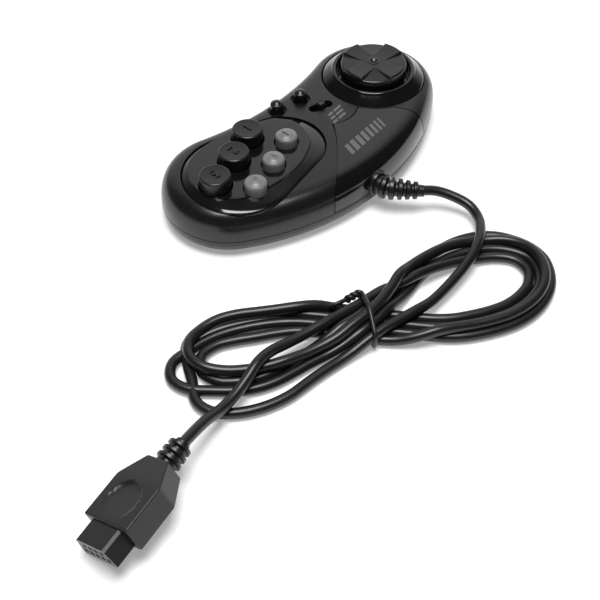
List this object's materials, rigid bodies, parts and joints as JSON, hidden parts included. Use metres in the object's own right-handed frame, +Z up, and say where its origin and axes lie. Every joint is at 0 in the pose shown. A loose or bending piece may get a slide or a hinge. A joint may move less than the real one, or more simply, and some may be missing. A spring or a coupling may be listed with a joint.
{
  "type": "game controller",
  "caption": "Wired game controller with a rocking direction pad, round face buttons, a slide switch, and a cord tied in a hank that ends in a D-shaped plug.",
  "frame": {"origin": "middle of the case's footprint on the surface that it rests on", "axes": "+X along the controller towards the button lobe, +Y towards the edge that the cord leaves by, +Z up"},
  "size_m": [0.25, 0.148, 0.027],
  "materials": {
    "case": "satin moulded black ABS",
    "gloss_trim": "polished black ABS",
    "black_buttons": "smooth black ABS",
    "grey_buttons": "smooth mid-grey ABS",
    "inner_plastic": "plain moulded black plastic",
    "silicone": "translucent grey silicone rubber",
    "board": "green solder mask on glass-fibre laminate",
    "chip_epoxy": "black moulding compound",
    "header_nylon": "natural nylon",
    "steel": "zinc-plated steel",
    "contact_brass": "gold-flashed brass",
    "plug_plastic": "black moulded vinyl and nylon",
    "tie_plastic": "black plastic skin over a soft wire",
    "cord_vinyl": "black soft vinyl"
  },
  "bodies": {
    "case": {"top_shell": "case", "bottom_shell": "case", "front_panel": "gloss_trim", "dpad_bezel": "gloss_trim", "button_bezel": "gloss_trim", "dpad_mat": "silicone", "button_mat": "silicone", "start_mode_mat": "silicone", "main_board": "board", "switch_body": "steel", "controller_chip": "chip_epoxy", "timer_chip": "chip_epoxy", "smoothing_capacitor": "chip_epoxy", "pull_up_network": "chip_epoxy", "cord_header": "header_nylon", "inner_leads": "cord_vinyl", "strain_relief": "cord_vinyl", "cord_lead": "cord_vinyl", "cord_hank": "cord_vinyl", "hank_tie": "tie_plastic", "cord_tail": "cord_vinyl", "plug_relief": "cord_vinyl", "plug_body": "plug_plastic", "plug_nose": "plug_plastic", "plug_contact_1": "contact_brass", "plug_contact_2": "contact_brass", "plug_contact_3": "contact_brass", "plug_contact_4": "contact_brass", "plug_contact_5": "contact_brass", "plug_contact_6": "contact_brass", "plug_contact_7": "contact_brass", "plug_contact_8": "contact_brass", "plug_contact_9": "contact_brass", "case_screw_1": "steel", "case_screw_2": "steel", "case_screw_3": "steel", "case_screw_4": "steel", "case_screw_5": "steel", "case_screw_6": "steel", "board_screw_1": "steel", "board_screw_2": "steel"},
    "dpad_rocker": {"dpad_rocker": "inner_plastic"},
    "dpad": {"dpad": "black_buttons"},
    "switch_knob": {"switch_knob": "black_buttons"},
    "mode_button": {"mode_button": "black_buttons"},
    "start_button": {"start_button": "black_buttons"},
    "large_button_1": {"large_button_1": "black_buttons"},
    "small_button_1": {"small_button_1": "grey_buttons"},
    "large_button_2": {"large_button_2": "black_buttons"},
    "small_button_2": {"small_button_2": "grey_buttons"},
    "large_button_3": {"large_button_3": "black_buttons"},
    "small_button_3": {"small_button_3": "grey_buttons"}
  },
  "joints": [
    {"name": "dpad_rock_up_down", "type": "hinge", "parent": "case", "child": "dpad_rocker", "pos_m": [-0.042, -0.0065, 0.0145], "axis": [1, 0, 0], "range_deg": [-6, 6], "stiffness_Nm_per_rad": 0.6},
    {"name": "dpad_rock_left_right", "type": "hinge", "parent": "dpad_rocker", "child": "dpad", "pos_m": [-0.042, -0.0065, 0.0145], "axis": [0, 1, 0], "range_deg": [-6, 6], "stiffness_Nm_per_rad": 0.6},
    {"name": "large_button_1_press", "type": "slide", "parent": "case", "child": "large_button_1", "axis": [0, 0, -1], "range_m": [0, 0.0015], "stiffness_N_per_m": 400, "springref_m": -0.0005},
    {"name": "large_button_2_press", "type": "slide", "parent": "case", "child": "large_button_2", "axis": [0, 0, -1], "range_m": [0, 0.0015], "stiffness_N_per_m": 400, "springref_m": -0.0005},
    {"name": "large_button_3_press", "type": "slide", "parent": "case", "child": "large_button_3", "axis": [0, 0, -1], "range_m": [0, 0.0015], "stiffness_N_per_m": 400, "springref_m": -0.0005},
    {"name": "small_button_1_press", "type": "slide", "parent": "case", "child": "small_button_1", "axis": [0, 0, -1], "range_m": [0, 0.0015], "stiffness_N_per_m": 400, "springref_m": -0.0005},
    {"name": "small_button_2_press", "type": "slide", "parent": "case", "child": "small_button_2", "axis": [0, 0, -1], "range_m": [0, 0.0015], "stiffness_N_per_m": 400, "springref_m": -0.0005},
    {"name": "small_button_3_press", "type": "slide", "parent": "case", "child": "small_button_3", "axis": [0, 0, -1], "range_m": [0, 0.0015], "stiffness_N_per_m": 400, "springref_m": -0.0005},
    {"name": "mode_button_press", "type": "slide", "parent": "case", "child": "mode_button", "axis": [0, 0, -1], "range_m": [0, 0.0012], "stiffness_N_per_m": 400, "springref_m": -0.0005},
    {"name": "start_button_press", "type": "slide", "parent": "case", "child": "start_button", "axis": [0, 0, -1], "range_m": [0, 0.0012], "stiffness_N_per_m": 400, "springref_m": -0.0005},
    {"name": "switch_slide", "type": "slide", "parent": "case", "child": "switch_knob", "axis": [-0.9613, 0.2756, 0], "range_m": [-0.0028, 0.0028]}
  ]
}
